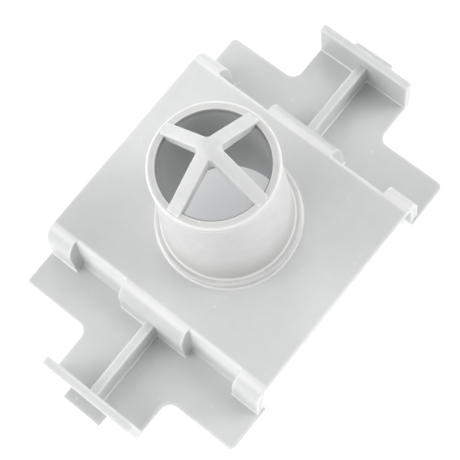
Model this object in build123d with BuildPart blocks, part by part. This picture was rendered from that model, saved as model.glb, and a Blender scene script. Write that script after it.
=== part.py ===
from build123d import *
import os
from math import cos, radians, tan

# One moulding, in millimetres. The origin is on the tube's axis, level with the underside of the
# wings. Z runs up the tube, X along the wings and Y along the open channel under the saddle.

os.makedirs("parts", exist_ok=True)

# Saddle: a flat plate on two leaning side walls, open below and at both ends
saddle_length = 72.0
saddle_height = 17.2
saddle_top_width = 59.6
saddle_foot_width = 62.8
plate_thickness = 2.2
wall_thickness = 2.4
plate_edge_radius = 1.5
plate_end_radius = 0.5
channel_corner_radius = 0.8

# Tabs: hollow bulges of each side wall, one at either end and one in the middle
tab_projection = 2.5
tab_shoulder_width = 5.0
tab_shoulder_drop = 7.3
tab_foot_flare = 0.5
tab_end_flare = 0.7
tab_wall = 2.5
end_tab_length = 8.1
middle_tab_length = 21.2

# Wings: flat plates at the foot of the side walls, each with two arms and a tongue
wing_thickness = 1.7
wing_overhang = 0.5
arm_reach = 14.0
short_arm_reach = 13.4
long_arm_reach = 14.65
arm_corner_radius = 1.5
sharp_arm_corner_radius = 0.5
tongue_reach = 28.2
tongue_width = 29.4
tongue_root_radius = 2.8
tongue_corner_radius = 0.4

# End wall of each tongue, its catch, and the rib between it and the middle tab
end_wall_height = 14.5
end_wall_thickness = 2.5
end_wall_edge_radius = 0.4
catch_width = 12.3
catch_reach = 3.2
catch_top = 8.3
catch_thickness = 1.8
rib_thickness = 2.7
rib_height = 9.9

# Tube: tapered inside and out, on a raised ring, with a lip round its mouth
tube_length = 41.9
mouth_bore_radius = 13.57
root_bore_radius = 15.0
mouth_wall = 2.05
root_wall = 2.5
mouth_edge_radius = 0.3
lip_projection = 0.45
lip_height = 2.3
lip_edge_radius = 0.6
lip_foot_radius = 0.2
ring_projection = 1.7
ring_height = 2.8
ring_edge_radius = 0.5
tube_foot_radius = 0.7

# Cross: four spokes that climb from the mouth's rim to a blunt point
spoke_width = 3.45
spoke_setback = 0.25
spoke_angle = 42.0
spoke_underside_angle = 39.0
hub_depth = 4.6
hub_top_radius = 4.7
hub_corner_radius = 1.0

# Small radii along edges and in corners
foot_radius = 0.5
recess_foot_radius = 1.2
ring_foot_radius = 0.6
wing_rim_radius = 0.3
rib_edge_radius = 0.3
catch_edge_radius = 0.3
spoke_edge_radius = 0.3

# Places that follow from the sizes above
half_length = saddle_length / 2
half_top = saddle_top_width / 2
half_foot = saddle_foot_width / 2
wall_lean = (half_foot - half_top) / saddle_height
channel_height = saddle_height - plate_thickness
tab_face = half_foot + tab_projection
shoulder_start = tab_face - tab_shoulder_width
shoulder_height = saddle_height - tab_shoulder_drop
end_wall_face = half_foot + tongue_reach
end_wall_inner = end_wall_face - end_wall_thickness
mouth_height = saddle_height + tube_length
ring_top = saddle_height + ring_height
neck_radius = mouth_bore_radius + mouth_wall
lip_radius = neck_radius + lip_projection
tube_foot = root_bore_radius + root_wall
ring_radius = tube_foot + ring_projection
spoke_end = lip_radius - lip_edge_radius - spoke_setback
spoke_peak = mouth_height + spoke_end * tan(radians(spoke_angle))
hub_underside = spoke_peak - hub_depth
spoke_root = mouth_bore_radius + mouth_wall / 2
root_underside = hub_underside - spoke_root * tan(radians(spoke_underside_angle))
cut_margin = 1.0
tolerance = 0.001
channel_end = half_length + wing_overhang + cut_margin


def wing(side, plus_arm, minus_arm, plus_corner=arm_corner_radius):
    """Outline of the wing on one side, whose arms reach plus_arm and minus_arm past the wall."""
    edge = half_length + wing_overhang
    half_tongue = tongue_width / 2
    root = side * (half_foot - wall_thickness / 2)
    plus_end = side * (half_foot + plus_arm)
    minus_end = side * (half_foot + minus_arm)
    with BuildSketch(Plane.XY) as outline:
        with BuildLine():
            FilletPolyline(
                (root, edge), (plus_end, edge), (plus_end, half_tongue),
                (side * end_wall_face, half_tongue), (side * end_wall_face, -half_tongue),
                (minus_end, -half_tongue), (minus_end, -edge), (root, -edge),
                radius=[0, plus_corner, tongue_root_radius, tongue_corner_radius,
                        tongue_corner_radius, tongue_root_radius, arm_corner_radius, 0],
                close=True,
            )
        make_face()
    return outline.sketch


def tab_section(plane, wall=0.0):
    """Section across a pair of tabs, or across their hollow when a wall is given.

    Each shoulder is a quarter ellipse, and each face below it flares a little to its foot.
    """
    face = tab_face - wall
    top = channel_height if wall else saddle_height
    bottom = -cut_margin if wall else 0
    foot = face + tab_foot_flare
    width = tab_shoulder_width - wall
    drop = top - shoulder_height
    with BuildSketch(plane) as section:
        with BuildLine():
            EllipticalCenterArc((shoulder_start, shoulder_height), width, drop,
                                start_angle=0, arc_size=90)
            Line((shoulder_start, top), (-shoulder_start, top))
            EllipticalCenterArc((-shoulder_start, shoulder_height), width, drop,
                                start_angle=90, arc_size=90)
            Polyline((-face, shoulder_height), (-foot, bottom), (foot, bottom), (face, shoulder_height))
        make_face()
    return section.sketch


def edges_at_height(height):
    """Edges of the moulding whose middle is at one height."""
    return docking_port.edges().filter_by_position(Axis.Z, height - tolerance, height + tolerance)


def wing_feet():
    """Edges where the saddle, the ribs and the end walls stand on the wings."""
    on_wings = edges_at_height(wing_thickness)
    feet = on_wings.filter_by_position(Axis.Y, -half_length, half_length, inclusive=(False, False))
    return feet.filter_by(Edge.is_interior)


# Cross: a hollow cone with a round tip, cut to four spokes seen from above
with BuildPart() as cross:
    tip_centre = spoke_peak - hub_top_radius / cos(radians(spoke_angle))
    with BuildSketch(Plane.XZ):
        with BuildLine():
            tip = CenterArc((0, tip_centre), hub_top_radius, 90 - spoke_angle, spoke_angle)
            Polyline(tip @ 0, (spoke_end, mouth_height), (spoke_root, root_underside),
                     (0, hub_underside), tip @ 1)
        make_face()
    revolve(axis=Axis.Z)
    with BuildSketch(Plane.XY.offset(root_underside)) as cross_outline:
        Rectangle(2 * lip_radius, spoke_width)
        Rectangle(spoke_width, 2 * lip_radius)
        corners = cross_outline.vertices().filter_by_position(Axis.X, -spoke_width, spoke_width)
        fillet(corners.filter_by_position(Axis.Y, -spoke_width, spoke_width), radius=hub_corner_radius)
    extrude(amount=spoke_peak - root_underside, mode=Mode.INTERSECT)
    spoke_tops = cross.faces().filter_by(GeomType.CONE).group_by(SortBy.AREA)[1]
    upper_faces = spoke_tops + cross.faces().filter_by(GeomType.SPHERE)
    fillet(upper_faces.edges().filter_by(GeomType.CIRCLE, reverse=True), radius=spoke_edge_radius)

# Outside of the tabs: one long bulge, cut to three lengths whose ends flare to the foot
with BuildPart() as tabs:
    extrude(tab_section(Plane.XZ), amount=half_length, both=True)
    with BuildSketch(Plane.YZ):
        for start, end, start_flare, end_flare in (
            (-half_length, end_tab_length - half_length, 0, tab_end_flare),
            (-middle_tab_length / 2, middle_tab_length / 2, tab_end_flare, tab_end_flare),
            (half_length - end_tab_length, half_length, tab_end_flare, 0),
        ):
            with BuildLine():
                Polyline((start - start_flare, 0), (end + end_flare, 0), (end, saddle_height),
                         (start, saddle_height), close=True)
            make_face()
    extrude(amount=tab_face + tab_foot_flare, both=True, mode=Mode.INTERSECT)

with BuildPart() as docking_port:
    # Outside of the saddle between its tabs
    with BuildSketch(Plane.XZ) as saddle_section:
        with BuildLine():
            Polyline((-half_foot, 0), (half_foot, 0), (half_top, saddle_height),
                     (-half_top, saddle_height), close=True)
        make_face()
        fillet(saddle_section.vertices().group_by(Axis.Y)[-1], radius=plate_edge_radius)
    extrude(amount=half_length, both=True)

    # Outside of the tabs
    add(tabs.part)

    # Rounded upper edges at both ends of the saddle
    with BuildSketch(Plane.YZ) as side_section:
        with Locations((0, saddle_height / 2)):
            Rectangle(saddle_length, saddle_height)
        fillet(side_section.vertices().group_by(Axis.Y)[-1], radius=plate_end_radius)
    extrude(amount=tab_face + tab_foot_flare, both=True, mode=Mode.INTERSECT)

    # Wings
    extrude(wing(1, arm_reach, arm_reach), amount=wing_thickness)
    left_wing = wing(-1, short_arm_reach, long_arm_reach, sharp_arm_corner_radius)
    extrude(left_wing, amount=wing_thickness)

    # End walls
    with BuildSketch(Plane.XY) as end_wall_outline:
        for side in (-1, 1):
            with Locations((side * (end_wall_face - end_wall_thickness / 2), 0)):
                Rectangle(end_wall_thickness, tongue_width)
        outer_corners = end_wall_outline.vertices().group_by(SortBy.DISTANCE)[-1]
        fillet(outer_corners, radius=tongue_corner_radius)
    extrude(amount=end_wall_height)
    fillet(edges_at_height(end_wall_height), radius=end_wall_edge_radius)

    # Catches on the outside of the end walls
    with BuildSketch(Plane.XY.offset(catch_top)):
        for side in (-1, 1):
            with Locations((side * (end_wall_inner + end_wall_face + catch_reach) / 2, 0)):
                Rectangle(end_wall_thickness + catch_reach, catch_width)
    extrude(amount=-catch_thickness)
    inside_walls = docking_port.edges().filter_by_position(Axis.X, -end_wall_face, end_wall_face)
    fillet(docking_port.edges() - inside_walls, radius=catch_edge_radius)

    # Ribs from the middle tabs to the end walls
    with BuildSketch(Plane.XY):
        for side in (-1, 1):
            with Locations((side * (tab_face - tab_wall / 2 + end_wall_face) / 2, 0)):
                Rectangle(end_wall_face - tab_face + tab_wall / 2, rib_thickness)
    extrude(amount=rib_height)

    # Channel under the plate, and the hollows of the tabs beside it
    with BuildSketch(Plane.XZ) as channel_section:
        with BuildLine():
            low_half = half_foot - wall_thickness + wall_lean * cut_margin
            high_half = half_foot - wall_thickness - wall_lean * channel_height
            Polyline((-low_half, -cut_margin), (low_half, -cut_margin), (high_half, channel_height),
                     (-high_half, channel_height), close=True)
        make_face()
        fillet(channel_section.vertices().group_by(Axis.Y)[-1], radius=channel_corner_radius)
    extrude(amount=channel_end, both=True, mode=Mode.SUBTRACT)
    middle_hollow = tab_section(Plane.XZ, tab_wall)
    extrude(middle_hollow, amount=middle_tab_length / 2 - tab_wall, both=True, mode=Mode.SUBTRACT)
    end_hollow_length = channel_end - half_length + end_tab_length - tab_wall
    for end in (-1, 1):
        end_hollow = tab_section(Plane.XZ.offset(end * channel_end), tab_wall)
        extrude(end_hollow, amount=-end * end_hollow_length, mode=Mode.SUBTRACT)

    # Radii at the feet of what stands on the wings, larger along the walls between the tabs
    recess_feet = wing_feet().filter_by_position(Axis.X, -tab_face, tab_face).filter_by(Axis.Y)
    fillet(recess_feet, radius=recess_foot_radius)
    rounded_feet = wing_feet().filter_by_position(Axis.X, -tab_face, tab_face)
    fillet(wing_feet() - rounded_feet.filter_by(Axis.Y), radius=foot_radius)

    # Rounded edges of the wings and ribs
    rims = edges_at_height(wing_thickness).filter_by(Edge.is_interior, reverse=True)
    fillet(rims.filter_by(lambda edge: edge.length > 2 * wing_rim_radius), radius=wing_rim_radius)
    fillet(edges_at_height(rib_height).filter_by(Axis.X), radius=rib_edge_radius)

    # Tube with its ring and lip, solid at first
    with BuildSketch(Plane.XZ):
        with BuildLine():
            FilletPolyline(
                (0, channel_height), (ring_radius, channel_height), (ring_radius, ring_top),
                (tube_foot, ring_top), (neck_radius, mouth_height - lip_height),
                (lip_radius, mouth_height - lip_height), (lip_radius, mouth_height),
                (0, mouth_height),
                radius=[0, 0, ring_edge_radius, tube_foot_radius, lip_foot_radius, lip_foot_radius,
                        lip_edge_radius, 0],
                close=True,
            )
        make_face()
    revolve(axis=Axis.Z)

    # Tapered bore, right through the tube and the plate
    bore_lean = (root_bore_radius - mouth_bore_radius) / (mouth_height - channel_height)
    with BuildSketch(Plane.XZ):
        with BuildLine():
            Polyline(
                (0, channel_height - cut_margin),
                (root_bore_radius + bore_lean * cut_margin, channel_height - cut_margin),
                (mouth_bore_radius - bore_lean * cut_margin, mouth_height + cut_margin),
                (0, mouth_height + cut_margin),
                close=True,
            )
        make_face()
    revolve(axis=Axis.Z, mode=Mode.SUBTRACT)
    mouth_edges = docking_port.edges().filter_by(GeomType.CIRCLE).group_by(Axis.Z)[-1]
    fillet(mouth_edges.sort_by(SortBy.RADIUS)[0], radius=mouth_edge_radius)

    # Small radius at the foot of the ring, and the cross over the mouth
    ring_foot = edges_at_height(saddle_height).filter_by(GeomType.CIRCLE)
    fillet(ring_foot, radius=ring_foot_radius)
    add(cross.part)

docking_port.part.label = "docking_port"
export_step(docking_port.part, "parts/docking_port.step")
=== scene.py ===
from math import cos, radians, sin

import bmesh
import bpy
from bpy.props import FloatProperty, FloatVectorProperty, IntProperty, PointerProperty
from mathutils import Matrix, Vector


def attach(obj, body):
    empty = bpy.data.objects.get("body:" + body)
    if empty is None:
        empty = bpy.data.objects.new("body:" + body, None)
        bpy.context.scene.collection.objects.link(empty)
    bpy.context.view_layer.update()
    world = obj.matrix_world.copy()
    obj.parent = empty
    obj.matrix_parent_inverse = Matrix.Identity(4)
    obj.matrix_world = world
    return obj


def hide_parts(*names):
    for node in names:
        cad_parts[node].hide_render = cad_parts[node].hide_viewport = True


bl_info = {
    "name": "Docking port",
    "version": (1, 0, 0),
    "blender": (4, 5, 0),
    "location": "3D View > Sidebar > Docking port",
    "description": "Dresses the moulded docking port and sets up its studio",
    "category": "Object",
}

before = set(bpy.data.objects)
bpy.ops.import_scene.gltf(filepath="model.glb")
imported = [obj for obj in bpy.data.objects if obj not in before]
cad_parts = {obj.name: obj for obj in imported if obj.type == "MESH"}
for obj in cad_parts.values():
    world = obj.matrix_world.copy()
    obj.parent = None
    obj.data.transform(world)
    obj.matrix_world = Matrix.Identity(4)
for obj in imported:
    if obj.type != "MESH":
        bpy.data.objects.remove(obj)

NODE = "docking_port"
MM = 0.001
SENSOR_WIDTH = 36.0
CLIP_START = 0.01
# Half the height of the pale band's soft upper edge, as a sine
BAND_BLUR = 0.04
WHITE = (1.0, 1.0, 1.0, 1.0)

# Name, azimuth, elevation and width of the disc in degrees, and strength
SOFT_LAMPS = (
    ("low_back", 135.0, 10.0, 30.0, 0.44),
    ("low_front", -45.0, 10.0, 30.0, 0.84),
    ("middle_right", 45.0, 42.0, 26.0, 0.46),
    ("middle_back", 90.0, 24.0, 40.0, 0.35),
    ("middle_left", 180.0, 24.0, 40.0, 0.64),
    ("high_back", 130.0, 44.0, 36.0, 1.00),
    ("high_left", 180.0, 44.0, 36.0, 0.40),
    ("high_front", -45.0, 44.0, 36.0, 1.16),
    ("top_right", 30.0, 66.0, 36.0, 0.48),
    ("top_left", 180.0, 66.0, 36.0, 0.15),
)

# Corners of the tube's section, from the foot of the bore round to the foot of the ring, by
# the names of the settings that hold each one's radius, height and fillet
TUBE_CORNERS = (
    ("bore_foot_radius", "bore_foot_height", None),
    ("bore_mouth_radius", "mouth_height", "mouth_fillet"),
    ("lip_radius", "mouth_height", "lip_fillet"),
    ("lip_radius", "lip_foot_height", "lip_foot_fillet"),
    ("neck_radius", "lip_foot_height", "lip_foot_fillet"),
    ("tube_foot_radius", "ring_height", "tube_foot_fillet"),
    ("ring_radius", "ring_height", "ring_fillet"),
    ("ring_radius", "plate_height", "ring_foot_fillet"),
    ("ring_foot_radius", "plate_height", None),
)
# A section's +Y points down once it is led round, so its heights are drawn along -Y
SECTION_TURN = (1.0, -1.0, 1.0)
TUBE_MERGE_DISTANCE = 0.001 * MM

# Each mask below is 0 at the first value of its pair and 1 at the second.
# Painted light on the side walls between the tabs: distances from the two middle planes, and
# heights
WALL_INSIDE = (29.3 * MM, 30.2 * MM)
WALL_OUTSIDE = (31.5 * MM, 31.3 * MM)
WALL_RISE = (2.5 * MM, 12.0 * MM)
MIDDLE_TAB_SIDE = (10.8 * MM, 12.0 * MM)
END_TAB_SIDE = (27.8 * MM, 27.0 * MM)
# Painted highlight on the long upper edges and tops of the tabs: distance from the middle plane,
# and height
ROLL_SIDE = (28.4 * MM, 29.2 * MM)
ROLL_RISE = (15.8 * MM, 16.9 * MM)
# Painted highlights on the radii at the feet of walls: heights above what the wall stands on
FOOT_BELOW = (0.03 * MM, 0.10 * MM)
FOOT_ABOVE = (0.60 * MM, 0.35 * MM)
# Painted shade on the lower part of the tube, which is darker, and a painted highlight on the
# fillet at its foot: heights
SHADE_ABOVE = (36.0 * MM, 21.0 * MM)
SHADE_OFF_RING = (0.0 * MM, 0.8 * MM)
FILLET_BELOW = (0.03 * MM, 0.12 * MM)
FILLET_ABOVE = (1.1 * MM, 0.6 * MM)
# Painted highlights on the lip: heights from its foot and from the mouth, and radii from the neck's
# and its own
LIP_FOOT_BELOW = (-0.25 * MM, 0.0 * MM)
LIP_FOOT_ABOVE = (0.55 * MM, 0.3 * MM)
LIP_FOOT_SIDE = (0.05 * MM, 0.2 * MM)
LIP_EDGE_SIDE = (-0.75 * MM, -0.45 * MM)
LIP_EDGE_RISE = (-0.5 * MM, -0.3 * MM)
# Painted shade in the bore: radii from its foot's, and how many mouth fillets out from the bore the
# dark line of painted reflection ends
BORE_SIDE = (0.2 * MM, 0.0 * MM)
MOUTH_LINE_REACH = 1.3
# How open the inside of the plastic is at a flat face and at a crisp edge, for the painted light at
# edges
OPENNESS = (1.0, 0.45)
OPENNESS_RAYS = 16

# Mottling and specks of the plastic: how many there are to a metre, and the noise they start at
CLOUDS_PER_METRE = 260.0
CLOUD_DETAIL = 4.0
CLOUD_SPAN = (0.3, 0.7)
SPECKS_PER_METRE = 330.0
SPECK_SIZE = (0.13, 0.07)
SPECK_SHARE = (0.45, 1.0)
SPECK_STRENGTH = 0.6

# Inputs of the skin group: the plastic's own colour and mottling, and the colour, strengths and
# places of the light painted on it
SKIN_AND_LIGHT_COLOURS = ("Colour", "Edge Light Colour")
SKIN_AND_LIGHT_VALUES = (
    "Edge Light Strength", "Edge Width", "Wall Light Strength", "Roll Highlight Strength", "Foot Highlight Strength",
    "Foot Height", "Foot Reach", "Mottling",
)


def length(name, description, size):
    """A named length whose default is given in millimetres."""
    return FloatProperty(
        name=name, description=description, subtype="DISTANCE", unit="LENGTH", min=0.0,
        default=size * MM,
    )


class PortPlasticSettings(bpy.types.PropertyGroup):
    """The plastic and the finish of the moulding, with the light and shade painted on it."""

    plastic_colour: FloatVectorProperty(
        name="Plastic colour", description="Colour of the undyed grey plastic", subtype="COLOR",
        size=3, min=0.0, max=1.0, default=(0.68, 0.694, 0.688),
    )
    tube_colour: FloatVectorProperty(
        name="Tube colour", description="Slightly warmer colour of the tube", subtype="COLOR",
        size=3, min=0.0, max=1.0, default=(0.67, 0.675, 0.662),
    )
    cross_colour: FloatVectorProperty(
        name="Cross colour", description="Slightly paler colour of the cross", subtype="COLOR",
        size=3, min=0.0, max=1.0, default=(0.71, 0.72, 0.71),
    )
    # Painted light: the colour and strength with which thin and crisp edges are made paler
    edge_light_colour: FloatVectorProperty(
        name="Edge light colour", description="Colour of thin edges, which gather light",
        subtype="COLOR", size=3, min=0.0, max=1.0, default=(0.95, 0.95, 0.95),
    )
    edge_light_strength: FloatProperty(
        name="Edge light strength", description="How far thin edges turn to their own colour",
        subtype="FACTOR", min=0.0, max=1.0, default=0.55,
    )
    # Painted light on the walls between the tabs, and painted highlights on the long upper edges
    # and tabs
    wall_light_strength: FloatProperty(
        name="Wall light strength", description="How far the walls between the tabs turn paler",
        subtype="FACTOR", min=0.0, max=1.0, default=0.7,
    )
    roll_highlight_strength: FloatProperty(
        name="Roll highlight strength", description="How far the long upper edges and tabs turn paler",
        subtype="FACTOR", min=0.0, max=1.0, default=0.5,
    )
    # Painted highlights on the radii at the feet of walls
    foot_highlight_strength: FloatProperty(
        name="Foot highlight strength", description="How far the radii at the feet of walls turn paler",
        subtype="FACTOR", min=0.0, max=1.0, default=1.0,
    )
    # Painted shade on the tube's lower part
    tube_foot_colour: FloatVectorProperty(
        name="Tube foot shade colour", description="Darker colour of the tube down at its ring",
        subtype="COLOR", size=3, min=0.0, max=1.0, default=(0.54, 0.535, 0.518),
    )
    # Painted highlights on the tube's lip edges and foot fillet
    highlight_line_colour: FloatVectorProperty(
        name="Highlight line colour", description="Paler colour of the tube's lip edges and foot fillet",
        subtype="COLOR", size=3, min=0.0, max=1.0, default=(0.83, 0.835, 0.82),
    )
    # Painted shade in the tube's bore
    bore_shade_colour: FloatVectorProperty(
        name="Bore shade colour", description="Darker colour of the tube's bore",
        subtype="COLOR", size=3, min=0.0, max=1.0, default=(0.56, 0.57, 0.57),
    )
    # Painted reflection: a dark line where the bore's upper edge mirrors the bore
    mouth_reflection_colour: FloatVectorProperty(
        name="Mouth reflection colour", description="Colour of the bore's upper edge, which mirrors the bore",
        subtype="COLOR", size=3, min=0.0, max=1.0, default=(0.30, 0.31, 0.31),
    )
    # Reach of the painted light at edges, on the saddle and tube and on the cross
    edge_width: length("Edge width", "How far from an edge it looks lighter", 1.0)
    cross_edge_width: length("Cross edge width", "The same for the cross's edges", 0.5)
    saddle_mottling: FloatProperty(
        name="Saddle mottling", description="How much darker the saddle's clouds are",
        subtype="FACTOR", min=0.0, max=1.0, default=0.03,
    )
    tube_mottling: FloatProperty(
        name="Tube mottling", description="How much darker the tube's clouds are",
        subtype="FACTOR", min=0.0, max=1.0, default=0.07,
    )
    cross_mottling: FloatProperty(
        name="Cross mottling", description="How much darker the cross's clouds are",
        subtype="FACTOR", min=0.0, max=1.0, default=0.08,
    )
    roughness: FloatProperty(
        name="Roughness", description="How satin the moulded surface is", subtype="FACTOR",
        min=0.0, max=1.0, default=0.38,
    )
    ior: FloatProperty(
        name="Index of refraction", description="How strongly the plastic bends light",
        min=1.0, default=1.5,
    )
    translucency: FloatProperty(
        name="Translucency", description="How much of the light goes in and comes out again",
        subtype="FACTOR", min=0.0, max=1.0, default=0.2,
    )
    glow_depth: length("Glow depth", "How far light spreads under the surface", 0.8)
    glow_spread: FloatVectorProperty(
        name="Glow spread", description="Share of the glow depth that red, green and blue reach",
        size=3, min=0.0, default=(1.0, 1.0, 0.97),
    )
    grain_strength: FloatProperty(
        name="Grain strength", description="How clearly the moulded skin's clouds stand out",
        subtype="FACTOR", min=0.0, max=1.0, default=0.15,
    )
    grain_height: length("Grain height", "How high the moulded skin's clouds stand", 0.05)


class PortMouldingSettings(bpy.types.PropertyGroup):
    """How the saddle and the cross are taken from the CAD node."""

    merge_distance: length("Merge distance", "Corners nearer than this become one", 0.001)
    saddle_height: length("Saddle height", "What reaches higher is the tube or the cross", 17.2)
    cross_height: length(
        "Cross height", "What is wholly higher and reaches into the bore is the cross", 50.0
    )
    mouth_height: length("Mouth height", "What reaches higher is the cross", 59.1)
    bore_radius: length("Bore radius", "What is nearer the axis reaches into the bore", 13.5)
    # Wing height and tab reach place the painted highlights at the feet of walls
    wing_height: length("Wing height", "Height of the wings' top", 1.7)
    tab_reach: length("Tab reach", "The feet of walls further out than this look paler", 33.5)


class PortTubeSettings(bpy.types.PropertyGroup):
    """Sizes of the tube, which is turned about the Z axis."""

    bore_foot_radius: length("Bore foot radius", "Radius of the bore at its lower end", 15.0)
    bore_mouth_radius: length("Bore mouth radius", "Radius of the bore at the mouth", 13.57)
    lip_radius: length("Lip radius", "Outer radius of the lip", 16.07)
    neck_radius: length("Neck radius", "Outer radius of the tube under the lip", 15.62)
    tube_foot_radius: length("Tube foot radius", "Outer radius of the tube on its ring", 17.5)
    ring_radius: length("Ring radius", "Outer radius of the ring", 19.2)
    ring_foot_radius: length("Ring foot radius", "Where the ring's fillet meets the plate", 19.8)
    bore_foot_height: length("Bore foot height", "Height of the bore's lower end", 15.0)
    plate_height: length("Plate height", "Height of the saddle's top", 17.2)
    ring_height: length("Ring height", "Height of the ring's top", 20.0)
    lip_foot_height: length("Lip foot height", "Height of the lip's lower edge", 56.8)
    mouth_height: length("Mouth height", "Height of the mouth", 59.1)
    mouth_fillet: length("Mouth fillet", "Fillet of the bore's upper edge", 0.3)
    lip_fillet: length("Lip fillet", "Fillet of the lip's outer edge", 0.6)
    lip_foot_fillet: length("Lip foot fillet", "Fillets under the lip", 0.2)
    tube_foot_fillet: length("Tube foot fillet", "Fillet between the tube and its ring", 0.7)
    ring_fillet: length("Ring fillet", "Fillet of the ring's upper edge", 0.5)
    ring_foot_fillet: length("Ring foot fillet", "Fillet between the ring and the plate", 0.6)
    spine_radius: length("Spine radius", "Radius of the circle that the section is led round", 10.0)
    fillet_steps: IntProperty(
        name="Fillet steps", description="Facets of each fillet", min=1, default=8,
    )
    turn_steps: IntProperty(
        name="Turn steps", description="Facets round the tube", min=3, default=240,
    )
    sharp_angle: FloatProperty(
        name="Sharp angle", description="Edges that bend more than this stay crisp",
        subtype="ANGLE", unit="ROTATION", min=0.0, default=radians(30.0),
    )


class PortStageSettings(bpy.types.PropertyGroup):
    """The camera, the floor and the lights."""

    camera_azimuth: FloatProperty(
        name="Camera azimuth", description="Where the camera stands, counted from +X towards +Y",
        subtype="ANGLE", unit="ROTATION", default=radians(-125.383),
    )
    camera_elevation: FloatProperty(
        name="Camera elevation", description="Camera's height above the horizon, as an angle",
        subtype="ANGLE", unit="ROTATION", default=radians(72.961),
    )
    camera_roll: FloatProperty(
        name="Camera roll", description="Turn of the camera about its line of sight",
        subtype="ANGLE", unit="ROTATION", default=radians(-16.361),
    )
    camera_distance: FloatProperty(
        name="Camera distance", description="From the frame's origin to the camera",
        subtype="DISTANCE", unit="LENGTH", min=0.01, default=389.79 * MM,
    )
    lens: FloatProperty(
        name="Lens", description="Focal length in millimetres", min=1.0, default=111.906,
    )
    shift_x: FloatProperty(
        name="Shift X", description="Sideways shift of the lens", default=-0.009407,
    )
    shift_y: FloatProperty(
        name="Shift Y", description="Upward shift of the lens", default=0.012759,
    )
    floor_size: FloatProperty(
        name="Floor size", description="Side of the square floor",
        subtype="DISTANCE", unit="LENGTH", min=0.1, default=6.0,
    )
    floor_colour: FloatVectorProperty(
        name="Floor colour", description="Colour of the floor", subtype="COLOR",
        size=3, min=0.0, max=1.0, default=(0.84, 0.84, 0.86),
    )
    floor_lift: FloatProperty(
        name="Floor lift", description="White that the floor gives off round the part",
        min=0.0, default=0.55,
    )
    # Painted shade: the floor gives off less white right under the part
    floor_shade: FloatProperty(
        name="Floor shade", description="White that it gives off right under the part",
        min=0.0, default=0.22,
    )
    shade_reach: length("Shade reach", "How far from the axis the floor's shade reaches", 20.0)
    lift_reach: length("Lift reach", "How far from the axis the floor's full white starts", 38.0)
    horizon_strength: FloatProperty(
        name="Horizon strength", description="Light of the low pale band round the part", min=0.0,
        default=0.65,
    )
    horizon_height: FloatProperty(
        name="Horizon height", description="Where the pale band ends, as an angle above the floor",
        subtype="ANGLE", unit="ROTATION", min=0.0, default=radians(12.0),
    )
    lamp_strength: FloatProperty(
        name="Lamp strength", description="Scales all the soft lamps together", min=0.0,
        default=1.0,
    )


def new_object(name, mesh):
    """An object at the origin, in the scene's own collection."""
    obj = bpy.data.objects.new(name, mesh)
    bpy.context.scene.collection.objects.link(obj)
    return obj


def setting_names(group):
    """The names of a group's own settings, without the two that Blender adds."""
    return [key for key in group.bl_rna.properties.keys() if key not in ("rna_type", "name")]


def feed(tree, value, target):
    """Gives an input the output of another node, or a plain value."""
    if isinstance(value, bpy.types.NodeSocket):
        tree.links.new(value, target)
    else:
        target.default_value = value


def node(tree, kind, inputs=None, **settings):
    """A new node of a tree: its own settings are changed first, then its inputs are fed."""
    made = tree.nodes.new(kind)
    for key, value in settings.items():
        setattr(made, key, value)
    for key, value in (inputs or {}).items():
        feed(tree, value, made.inputs[key])
    return made


def maths(tree, operation, *values):
    """The result of one Math node."""
    return node(tree, "ShaderNodeMath", dict(enumerate(values)), operation=operation).outputs[0]


def product(tree, *masks):
    """Several masks multiplied together."""
    result = masks[0]
    for mask in masks[1:]:
        result = maths(tree, "MULTIPLY", result, mask)
    return result


def strongest(tree, *masks):
    """The highest of several masks at each place."""
    result = masks[0]
    for mask in masks[1:]:
        result = maths(tree, "MAXIMUM", result, mask)
    return result


def ramp(tree, value, start, end, low=0.0, high=1.0, kind="SMOOTHSTEP"):
    """A value brought to low at start and to high at end."""
    return node(tree, "ShaderNodeMapRange", {
        "Value": value, "From Min": start, "From Max": end, "To Min": low, "To Max": high,
    }, interpolation_type=kind).outputs["Result"]


def band(tree, value, inner, outer):
    """A mask between two pairs of limits of one value."""
    return product(tree, ramp(tree, value, *inner), ramp(tree, value, *outer))


def object_place(tree):
    """The place on the object, and its X, Y and Z apart."""
    place = node(tree, "ShaderNodeTexCoord").outputs["Object"]
    return place, node(tree, "ShaderNodeSeparateXYZ", {0: place}).outputs


def blend(tree, mask, first, second):
    """One colour turned to another as far as a mask says."""
    return node(
        tree, "ShaderNodeMix", {"Factor": mask, "A": first, "B": second}, data_type="RGBA"
    ).outputs["Result"]


def islands(bm):
    """The faces of each connected part of a mesh; in a CAD node each is one CAD face."""
    waiting = set(bm.faces)
    while waiting:
        grown, edge_of_island = [], [waiting.pop()]
        while edge_of_island:
            face = edge_of_island.pop()
            grown.append(face)
            beside = {other for edge in face.edges for other in edge.link_faces} & waiting
            waiting -= beside
            edge_of_island.extend(beside)
        yield grown


def owner(faces, settings):
    """Which piece a CAD face belongs to: the saddle, the tube or the cross."""
    points = [vert.co for face in faces for vert in face.verts]
    low, high = min(point.z for point in points), max(point.z for point in points)
    inner = min(point.xy.length for point in points)
    if high > settings.mouth_height + settings.merge_distance:
        return "cross"
    if low > settings.cross_height and inner < settings.bore_radius:
        return "cross"
    return "tube" if high > settings.saddle_height + settings.merge_distance else "saddle"


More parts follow.
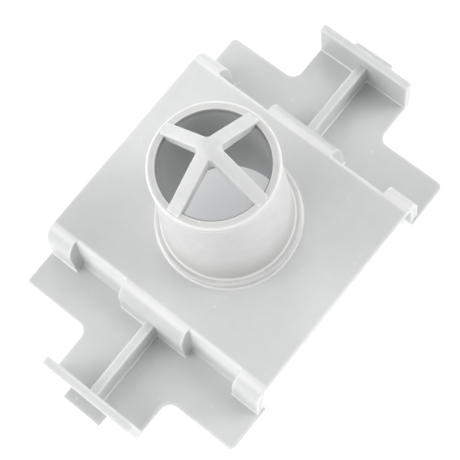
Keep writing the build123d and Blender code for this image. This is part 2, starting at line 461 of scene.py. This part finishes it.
def part_copy(part, settings, close):
    """A closed copy of one part of the CAD node: merged, closed, with its own normals kept."""
    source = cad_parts[NODE].data
    normals = [tuple(corner.vector) for corner in source.corner_normals]
    bm = bmesh.new()
    bm.from_mesh(source)
    corner = bm.loops.layers.int.new("corner")
    for face, polygon in zip(bm.faces, source.polygons):
        for offset, loop in enumerate(face.loops):
            loop[corner] = polygon.loop_start + offset
    others = [face for faces in islands(bm) if owner(faces, settings) != part for face in faces]
    bmesh.ops.delete(bm, geom=others, context="FACES")
    bmesh.ops.remove_doubles(bm, verts=bm.verts, dist=settings.merge_distance)
    for face in close(bm, [edge for edge in bm.edges if edge.is_boundary]):
        for loop in face.loops:
            loop[corner] = -1
    bmesh.ops.recalc_face_normals(bm, faces=bm.faces)
    if any(not edge.is_manifold for edge in bm.edges):
        raise RuntimeError("the " + part + " is not closed")
    kept = [
        normals[loop[corner]] if loop[corner] >= 0 else tuple(face.normal)
        for face in bm.faces for loop in face.loops
    ]
    bm.loops.layers.int.remove(corner)
    mesh = bpy.data.meshes.new(part)
    bm.to_mesh(mesh)
    bm.free()
    mesh.shade_smooth()
    mesh.normals_split_custom_set(kept)
    return new_object(part, mesh)


def bridged(bm, edges):
    """Faces between two open loops."""
    return bmesh.ops.bridge_loops(bm, edges=edges)["faces"]


def filled(bm, edges):
    """Faces over each open loop."""
    caps = bmesh.ops.holes_fill(bm, edges=edges, sides=0)["faces"]
    return bmesh.ops.triangulate(bm, faces=caps)["faces"]


def tube_tree(settings, material):
    """A section drawn from named sizes, filleted and led round the axis."""
    tree = bpy.data.node_groups.new("turned_tube", "GeometryNodeTree")
    tree.interface.new_socket("Geometry", in_out="OUTPUT", socket_type="NodeSocketGeometry")
    kinds = {"FLOAT": "NodeSocketFloat", "INT": "NodeSocketInt"}
    for key in setting_names(settings):
        kind = kinds[settings.bl_rna.properties[key].type]
        tree.interface.new_socket(key, in_out="INPUT", socket_type=kind)
    sizes = node(tree, "NodeGroupInput").outputs
    place = node(tree, "GeometryNodeIndexSwitch", data_type="VECTOR")
    rounding = node(tree, "GeometryNodeIndexSwitch", data_type="FLOAT")
    index = node(tree, "GeometryNodeInputIndex")
    for switch in (place, rounding):
        while len(switch.index_switch_items) < len(TUBE_CORNERS):
            switch.index_switch_items.new()
        feed(tree, index.outputs[0], switch.inputs["Index"])
    for item, (radius, height, fillet) in enumerate(TUBE_CORNERS, start=1):
        corner = node(tree, "ShaderNodeCombineXYZ", {"X": sizes[radius], "Y": sizes[height]})
        feed(tree, corner.outputs[0], place.inputs[item])
        if fillet:
            feed(tree, sizes[fillet], rounding.inputs[item])
    upright = node(
        tree, "ShaderNodeVectorMath", {0: place.outputs[0], 1: SECTION_TURN}, operation="MULTIPLY"
    )
    points = node(tree, "GeometryNodePoints", {
        "Count": len(TUBE_CORNERS), "Position": upright.outputs[0],
    })
    section = node(tree, "GeometryNodePointsToCurves", {0: points.outputs[0]})
    loop = node(tree, "GeometryNodeSetSplineCyclic", {0: section.outputs[0], "Cyclic": True})
    rounded = node(tree, "GeometryNodeFilletCurve", {
        "Curve": loop.outputs[0], "Count": sizes["fillet_steps"], "Radius": rounding.outputs[0],
    }, mode="POLY")
    inwards = maths(tree, "MULTIPLY", sizes["spine_radius"], -1.0)
    offset = node(tree, "ShaderNodeCombineXYZ", {"X": inwards})
    moved = node(tree, "GeometryNodeSetPosition", {
        "Geometry": rounded.outputs[0], "Offset": offset.outputs[0],
    })
    spine = node(tree, "GeometryNodeCurvePrimitiveCircle", {
        "Resolution": sizes["turn_steps"], "Radius": sizes["spine_radius"],
    })
    turned = node(tree, "GeometryNodeCurveToMesh", {
        "Curve": spine.outputs[0], "Profile Curve": moved.outputs[0],
    })
    merged = node(tree, "GeometryNodeMergeByDistance", {
        0: turned.outputs[0], "Distance": TUBE_MERGE_DISTANCE,
    })
    smooth = node(tree, "GeometryNodeSetShadeSmooth", {0: merged.outputs[0]})
    bend = node(tree, "GeometryNodeInputMeshEdgeAngle")
    sharp = node(tree, "FunctionNodeCompare", {
        0: bend.outputs[0], 1: sizes["sharp_angle"],
    }, data_type="FLOAT", operation="GREATER_THAN")
    crisp = node(tree, "GeometryNodeSetShadeSmooth", {
        0: smooth.outputs[0], "Selection": sharp.outputs[0], "Shade Smooth": False,
    }, domain="EDGE")
    real = node(tree, "GeometryNodeRealizeInstances", {0: crisp.outputs[0]})
    painted = node(tree, "GeometryNodeSetMaterial", {0: real.outputs[0], "Material": material})
    node(tree, "NodeGroupOutput", {0: painted.outputs[0]})
    return tree


def turned_mesh(name, tree, settings):
    """The tree's result as a plain mesh, with normals weighted by the size of its faces."""
    obj = new_object(name, bpy.data.meshes.new(name))
    shape = obj.modifiers.new("shape", "NODES")
    shape.node_group = tree
    for item in tree.interface.items_tree:
        if item.in_out == "INPUT":
            shape[item.identifier] = getattr(settings, item.name)
    obj.modifiers.new("normals", "WEIGHTED_NORMAL").keep_sharp = True
    evaluated = obj.evaluated_get(bpy.context.evaluated_depsgraph_get())
    mesh = bpy.data.meshes.new_from_object(evaluated)
    if not mesh.polygons:
        raise RuntimeError("the " + name + " came out empty")
    obj.modifiers.clear()
    obj.data = mesh
    return obj


def painted_wall_and_roll_light(tree, split, wall_light_strength, roll_highlight_strength):
    """Painted light on the upper side walls between the tabs, and a painted highlight on all upper
    edges.
    """
    across, along = maths(tree, "ABSOLUTE", split["X"]), maths(tree, "ABSOLUTE", split["Y"])
    wall = product(
        tree, band(tree, across, WALL_INSIDE, WALL_OUTSIDE),
        band(tree, along, MIDDLE_TAB_SIDE, END_TAB_SIDE), ramp(tree, split["Z"], *WALL_RISE),
        wall_light_strength,
    )
    roll = product(
        tree, ramp(tree, across, *ROLL_SIDE), ramp(tree, split["Z"], *ROLL_RISE), roll_highlight_strength
    )
    return strongest(tree, wall, roll)


def painted_foot_highlight(tree, split, height, reach, strength):
    """A painted highlight on the small radii at the feet of what stands at one height, further out
    than the reach.
    """
    above = maths(tree, "SUBTRACT", split["Z"], height)
    beyond = maths(tree, "GREATER_THAN", maths(tree, "ABSOLUTE", split["X"]), reach)
    return product(tree, band(tree, above, FOOT_BELOW, FOOT_ABOVE), beyond, strength)


def speck_mask(tree, place):
    """Small dots strewn over the surface, few of them strong."""
    cells = node(tree, "ShaderNodeTexVoronoi", {"Vector": place, "Scale": SPECKS_PER_METRE})
    dot = ramp(tree, cells.outputs["Distance"], *SPECK_SIZE, kind="LINEAR")
    pick = ramp(
        tree, cells.outputs["Color"], *SPECK_SHARE, high=SPECK_STRENGTH, kind="LINEAR"
    )
    return product(tree, dot, pick)


def skin_and_light_group():
    """Colour of moulded plastic, faintly mottled with a few pale specks, and with painted light:
    paler at thin edges, on the walls between the tabs, on upper edges and at the feet of walls.
    """
    tree = bpy.data.node_groups.new("moulded_skin_and_painted_light", "ShaderNodeTree")
    for name in SKIN_AND_LIGHT_COLOURS:
        tree.interface.new_socket(name, in_out="INPUT", socket_type="NodeSocketColor")
    for name in SKIN_AND_LIGHT_VALUES:
        tree.interface.new_socket(name, in_out="INPUT", socket_type="NodeSocketFloat")
    tree.interface.new_socket("Colour", in_out="OUTPUT", socket_type="NodeSocketColor")
    tree.interface.new_socket("Height", in_out="OUTPUT", socket_type="NodeSocketFloat")
    given = node(tree, "NodeGroupInput").outputs
    place, split = object_place(tree)
    # Painted light: thin and crisp edges are made paler
    inside = node(
        tree, "ShaderNodeAmbientOcclusion", {"Distance": given["Edge Width"]}, inside=True,
        only_local=True, samples=OPENNESS_RAYS,
    )
    edge = product(
        tree, ramp(tree, inside.outputs["AO"], *OPENNESS, kind="LINEAR"), given["Edge Light Strength"]
    )
    thin = painted_wall_and_roll_light(tree, split, given["Wall Light Strength"], given["Roll Highlight Strength"])
    foot = painted_foot_highlight(tree, split, given["Foot Height"], given["Foot Reach"], given["Foot Highlight Strength"])
    # Painted light at edges, walls, upper edges and feet, with the plastic's real pale specks
    pale = strongest(tree, edge, thin, foot, speck_mask(tree, place))
    cloud = node(tree, "ShaderNodeTexNoise", {
        "Vector": place, "Scale": CLOUDS_PER_METRE, "Detail": CLOUD_DETAIL,
    }).outputs[0]
    darkest = maths(tree, "SUBTRACT", 1.0, given["Mottling"])
    shade = ramp(tree, cloud, *CLOUD_SPAN, low=darkest, kind="LINEAR")
    mottled = node(tree, "ShaderNodeVectorMath", {
        0: given["Colour"], "Scale": shade,
    }, operation="SCALE")
    colour = blend(tree, pale, mottled.outputs[0], given["Edge Light Colour"])
    node(tree, "NodeGroupOutput", {"Colour": colour, "Height": cloud})
    return tree


def new_material(name, inputs):
    """A material whose own shader gets values for some of its inputs."""
    material = bpy.data.materials.new(name)
    material.use_nodes = True
    for key, value in inputs.items():
        material.node_tree.nodes["Principled BSDF"].inputs[key].default_value = value
    return material


def plastic_material(name, colour, skin_and_light_values, settings):
    """Light grey translucent plastic with a satin skin and painted light, whose named values are
    given.
    """
    material = new_material(name, {
        "Roughness": settings.roughness, "IOR": settings.ior,
        "Subsurface Weight": settings.translucency, "Subsurface Radius": settings.glow_spread,
        "Subsurface Scale": settings.glow_depth,
    })
    tree = material.node_tree
    # The skin group gives the plastic's colour with its mottling, specks and painted light
    skin = node(tree, "ShaderNodeGroup", {
        "Colour": (*colour, 1.0), "Edge Light Colour": (*settings.edge_light_colour, 1.0),
        "Edge Width": settings.edge_width, **skin_and_light_values,
    }, node_tree=bpy.data.node_groups.get("moulded_skin_and_painted_light") or skin_and_light_group())
    grain = node(tree, "ShaderNodeBump", {
        "Strength": settings.grain_strength, "Distance": settings.grain_height,
        "Height": skin.outputs["Height"],
    })
    shader = tree.nodes["Principled BSDF"]
    feed(tree, skin.outputs["Colour"], shader.inputs["Base Color"])
    feed(tree, grain.outputs["Normal"], shader.inputs["Normal"])
    return material


def from_size(size, distances):
    """The two limits of a mask, as distances from a named size."""
    return tuple(size + distance for distance in distances)


def shade_tube(material, tube, plastic):
    """Paints shade on the tube's foot and in its bore, painted highlights as pale lines on its lip
    and foot fillet, and a painted reflection as a dark line at the mouth.
    """
    tree = material.node_tree
    place, split = object_place(tree)
    height = split["Z"]
    level = node(tree, "ShaderNodeCombineXYZ", {"X": split["X"], "Y": split["Y"]})
    radius = node(
        tree, "ShaderNodeVectorMath", {0: level.outputs[0]}, operation="LENGTH"
    ).outputs["Value"]
    foot = band(tree, height, from_size(tube.ring_height, SHADE_OFF_RING), SHADE_ABOVE)
    fillet = band(tree, height, from_size(tube.ring_height, FILLET_BELOW),
                  from_size(tube.ring_height, FILLET_ABOVE))
    lip_foot_highlight = product(
        tree, ramp(tree, radius, *from_size(tube.neck_radius, LIP_FOOT_SIDE)),
        band(tree, height, from_size(tube.lip_foot_height, LIP_FOOT_BELOW),
             from_size(tube.lip_foot_height, LIP_FOOT_ABOVE)),
    )
    lip_edge_highlight = product(
        tree, ramp(tree, radius, *from_size(tube.lip_radius, LIP_EDGE_SIDE)),
        ramp(tree, height, *from_size(tube.mouth_height, LIP_EDGE_RISE)),
    )
    mouth_foot = tube.mouth_height - tube.mouth_fillet
    bore = product(
        tree, ramp(tree, radius, *from_size(tube.bore_foot_radius, BORE_SIDE)),
        ramp(tree, height, tube.mouth_height, mouth_foot),
    )
    mouth_side = (MOUTH_LINE_REACH * tube.mouth_fillet, tube.mouth_fillet)
    mouth = product(
        tree, ramp(tree, radius, *from_size(tube.bore_mouth_radius, mouth_side)),
        ramp(tree, height, tube.lip_foot_height, mouth_foot),
    )
    base = tree.nodes["Principled BSDF"].inputs["Base Color"]
    # Painted shade on the foot and in the bore, painted highlights on the lip and foot fillet, and
    # a painted reflection at the mouth
    for mask, colour in (
        (foot, plastic.tube_foot_colour),
        (strongest(tree, fillet, lip_foot_highlight, lip_edge_highlight), plastic.highlight_line_colour),
        (bore, plastic.bore_shade_colour),
        (mouth, plastic.mouth_reflection_colour),
    ):
        feed(tree, blend(tree, mask, base.links[0].from_socket, (*colour, 1.0)), base)


def finish_piece(obj):
    """Fixes a piece to the body, in place of the CAD node."""
    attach(obj, "root")
    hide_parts(NODE)


class PORT_OT_moulding(bpy.types.Operator):
    """Makes the saddle and the cross from the CAD node and gives them their plastic"""

    bl_idname = "port.moulding"
    bl_label = "Saddle and cross"

    def execute(self, context):
        settings, plastic = context.scene.port_moulding, context.scene.port_plastic
        # The light painted on the saddle, and its mottling
        saddle_skin_and_light = {
            "Edge Light Strength": plastic.edge_light_strength, "Wall Light Strength": plastic.wall_light_strength,
            "Roll Highlight Strength": plastic.roll_highlight_strength, "Foot Highlight Strength": plastic.foot_highlight_strength,
            "Foot Height": settings.wing_height, "Foot Reach": settings.tab_reach,
            "Mottling": plastic.saddle_mottling,
        }
        # The light painted on the cross's edges, and its mottling
        cross_skin_and_light = {
            "Edge Light Strength": plastic.edge_light_strength, "Edge Width": plastic.cross_edge_width,
            "Mottling": plastic.cross_mottling,
        }
        for part, close, colour, skin in (
            ("saddle", bridged, plastic.plastic_colour, saddle_skin_and_light),
            ("cross", filled, plastic.cross_colour, cross_skin_and_light),
        ):
            piece = part_copy(part, settings, close)
            piece.data.materials.append(plastic_material(part + "_plastic", colour, skin, plastic))
            finish_piece(piece)
        return {"FINISHED"}


class PORT_OT_tube(bpy.types.Operator):
    """Turns the tube with its ring and lip from a section"""

    bl_idname = "port.tube"
    bl_label = "Tube"

    def execute(self, context):
        settings, plastic = context.scene.port_tube, context.scene.port_plastic
        # The light painted on the tube's edges and foot fillet, and its mottling
        skin = {
            "Edge Light Strength": plastic.edge_light_strength, "Foot Highlight Strength": plastic.foot_highlight_strength,
            "Foot Height": settings.plate_height, "Mottling": plastic.tube_mottling,
        }
        material = plastic_material("tube_plastic", plastic.tube_colour, skin, plastic)
        shade_tube(material, settings, plastic)
        finish_piece(turned_mesh("tube", tube_tree(settings, material), settings))
        return {"FINISHED"}


def floor_material(settings):
    """Pale floor that keeps shadows and glows a little round the part, like a lit table, with
    painted shade right under the part where its glow is turned down.
    """
    material = new_material("pale_floor", {
        "Base Color": (*settings.floor_colour, 1.0), "Roughness": 1.0, "Specular IOR Level": 0.0,
        "Emission Color": WHITE,
    })
    tree = material.node_tree
    place = node(tree, "ShaderNodeTexCoord").outputs["Object"]
    away = node(tree, "ShaderNodeVectorMath", {0: place}, operation="LENGTH")
    # Painted shade under the part: the floor's glow drops towards the axis
    lift = ramp(
        tree, away.outputs["Value"], settings.shade_reach, settings.lift_reach,
        low=settings.floor_shade, high=settings.floor_lift, kind="LINEAR",
    )
    feed(tree, lift, tree.nodes["Principled BSDF"].inputs["Emission Strength"])
    return material


def light_tent(settings):
    """A world with a pale band at eye level, dark overhead, and white where the camera sees it."""
    world = bpy.data.worlds.new("light_tent")
    world.use_nodes = True
    tree = world.node_tree
    direction = node(tree, "ShaderNodeTexCoord").outputs["Generated"]
    split = node(tree, "ShaderNodeSeparateXYZ", {0: direction})
    band_top = sin(settings.horizon_height)
    pale = ramp(
        tree, split.outputs["Z"], band_top - BAND_BLUR, band_top + BAND_BLUR,
        low=settings.horizon_strength, high=0.0, kind="LINEAR",
    )
    path = node(tree, "ShaderNodeLightPath").outputs
    seen = node(tree, "ShaderNodeMix", {"Factor": path["Is Camera Ray"], "A": pale, "B": 1.0})
    background = tree.nodes["Background"]
    feed(tree, WHITE, background.inputs["Color"])
    feed(tree, seen.outputs["Result"], background.inputs["Strength"])
    return world


def soft_lamp(name, azimuth, elevation, spread, strength):
    """A far lamp with a wide disc; azimuth is counted from +X towards +Y, in degrees."""
    lamp = bpy.data.lights.new(name, "SUN")
    lamp.angle = radians(spread)
    lamp.energy = strength
    obj = new_object(name, lamp)
    height, turn = radians(elevation), radians(azimuth)
    beam = Vector((cos(height) * cos(turn), cos(height) * sin(turn), sin(height)))
    obj.rotation_euler = beam.to_track_quat("Z", "Y").to_euler()


class PORT_OT_stage(bpy.types.Operator):
    """Lays the floor, lights the part and sets the camera"""

    bl_idname = "port.stage"
    bl_label = "Stage"

    def execute(self, context):
        settings = context.scene.port_stage
        floor_mesh = bpy.data.meshes.new("floor")
        half = settings.floor_size / 2
        corners = [(-half, -half, 0.0), (half, -half, 0.0), (half, half, 0.0), (-half, half, 0.0)]
        floor_mesh.from_pydata(corners, [], [(0, 1, 2, 3)])
        floor_mesh.materials.append(floor_material(settings))
        new_object("floor", floor_mesh)
        context.scene.world = light_tent(settings)
        for name, azimuth, elevation, spread, strength in SOFT_LAMPS:
            soft_lamp(name, azimuth, elevation, spread, strength * settings.lamp_strength)
        self.place_camera(context.scene, settings)
        context.scene.view_settings.view_transform = "Standard"
        return {"FINISHED"}

    def place_camera(self, scene, settings):
        """Puts the camera on a line from the frame's origin and turns it about that line."""
        azimuth, elevation, roll = (
            settings.camera_azimuth, settings.camera_elevation, settings.camera_roll
        )
        back = Vector((
            cos(elevation) * cos(azimuth), cos(elevation) * sin(azimuth), sin(elevation)
        ))
        right = (-back).cross(Vector((0.0, 0.0, 1.0))).normalized()
        up = back.cross(right)
        turned_right = cos(roll) * right + sin(roll) * up
        turned_up = cos(roll) * up - sin(roll) * right
        camera = bpy.data.cameras.new("camera")
        camera.sensor_width = SENSOR_WIDTH
        camera.lens = settings.lens
        camera.shift_x = settings.shift_x
        camera.shift_y = settings.shift_y
        camera.clip_start = CLIP_START
        obj = new_object("camera", camera)
        turn = Matrix((turned_right, turned_up, back)).transposed().to_4x4()
        obj.matrix_world = Matrix.Translation(back * settings.camera_distance) @ turn
        scene.camera = obj


class PORT_PT_sidebar(bpy.types.Panel):
    """Lists all settings, each group with its operator"""

    bl_idname = "PORT_PT_sidebar"
    bl_label = "Docking port"
    bl_space_type = "VIEW_3D"
    bl_region_type = "UI"
    bl_category = "Docking port"

    def draw(self, context):
        for group, operators in (
            (context.scene.port_plastic, ()),
            (context.scene.port_moulding, (PORT_OT_moulding,)),
            (context.scene.port_tube, (PORT_OT_tube,)),
            (context.scene.port_stage, (PORT_OT_stage,)),
        ):
            box = self.layout.box()
            for key in setting_names(group):
                box.prop(group, key)
            for operator in operators:
                box.operator(operator.bl_idname)


CLASSES = (
    PortPlasticSettings, PortMouldingSettings, PortTubeSettings, PortStageSettings,
    PORT_OT_moulding, PORT_OT_tube, PORT_OT_stage, PORT_PT_sidebar,
)


def register():
    """Adds the classes, and the settings to the scene."""
    for cls in CLASSES:
        bpy.utils.register_class(cls)
    bpy.types.Scene.port_plastic = PointerProperty(type=PortPlasticSettings)
    bpy.types.Scene.port_moulding = PointerProperty(type=PortMouldingSettings)
    bpy.types.Scene.port_tube = PointerProperty(type=PortTubeSettings)
    bpy.types.Scene.port_stage = PointerProperty(type=PortStageSettings)


def unregister():
    """Takes the settings and the classes away again."""
    del bpy.types.Scene.port_stage
    del bpy.types.Scene.port_tube
    del bpy.types.Scene.port_moulding
    del bpy.types.Scene.port_plastic
    for cls in reversed(CLASSES):
        bpy.utils.unregister_class(cls)


def main():
    """Makes the pieces and the stage."""
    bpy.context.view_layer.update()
    register()
    bpy.ops.port.moulding()
    bpy.ops.port.tube()
    bpy.ops.port.stage()


if __name__ == "__main__":
    main()
